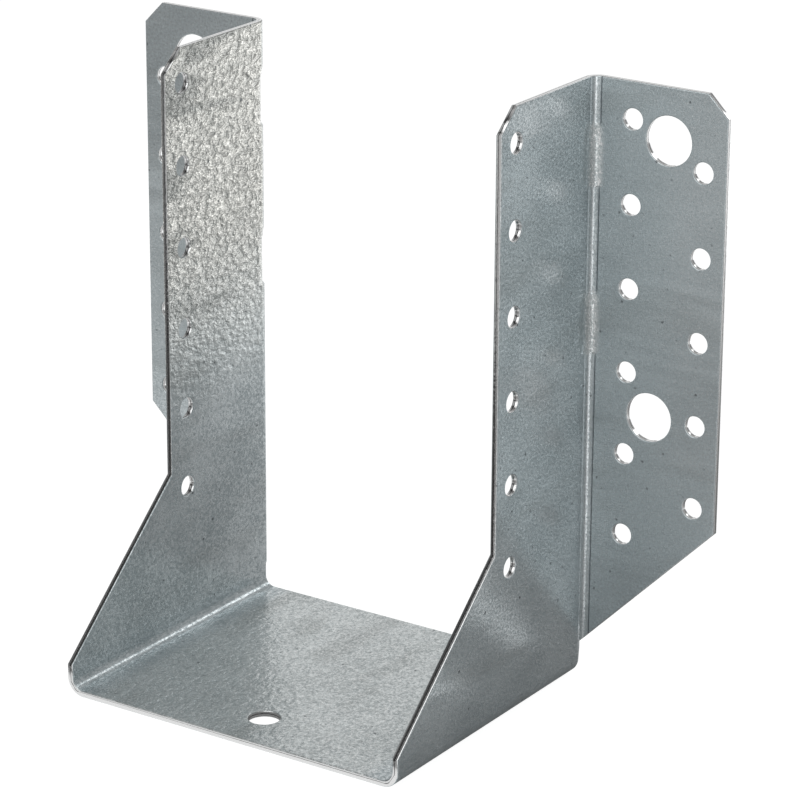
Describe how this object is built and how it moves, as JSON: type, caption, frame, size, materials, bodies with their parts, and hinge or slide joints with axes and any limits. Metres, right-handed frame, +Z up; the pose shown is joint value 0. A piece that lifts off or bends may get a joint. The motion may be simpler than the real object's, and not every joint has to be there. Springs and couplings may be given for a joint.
{
  "type": "joist hanger",
  "caption": "Face-fixed joist hanger of folded galvanised sheet: a U-shaped pocket for a timber joist with two outward header flanges, drilled for nails and bolts.",
  "frame": {"origin": "centre of the box around the hanger, at the underside of the seat", "axes": "+X across the pocket, +Y towards the header that the flanges lie against, +Z up; the joist comes in from -Y"},
  "size_m": [0.162, 0.08, 0.1466],
  "materials": {
    "galvanised_steel": "satin"
  },
  "bodies": {
    "root": {"hanger": "galvanised_steel"}
  },
  "joints": []
}
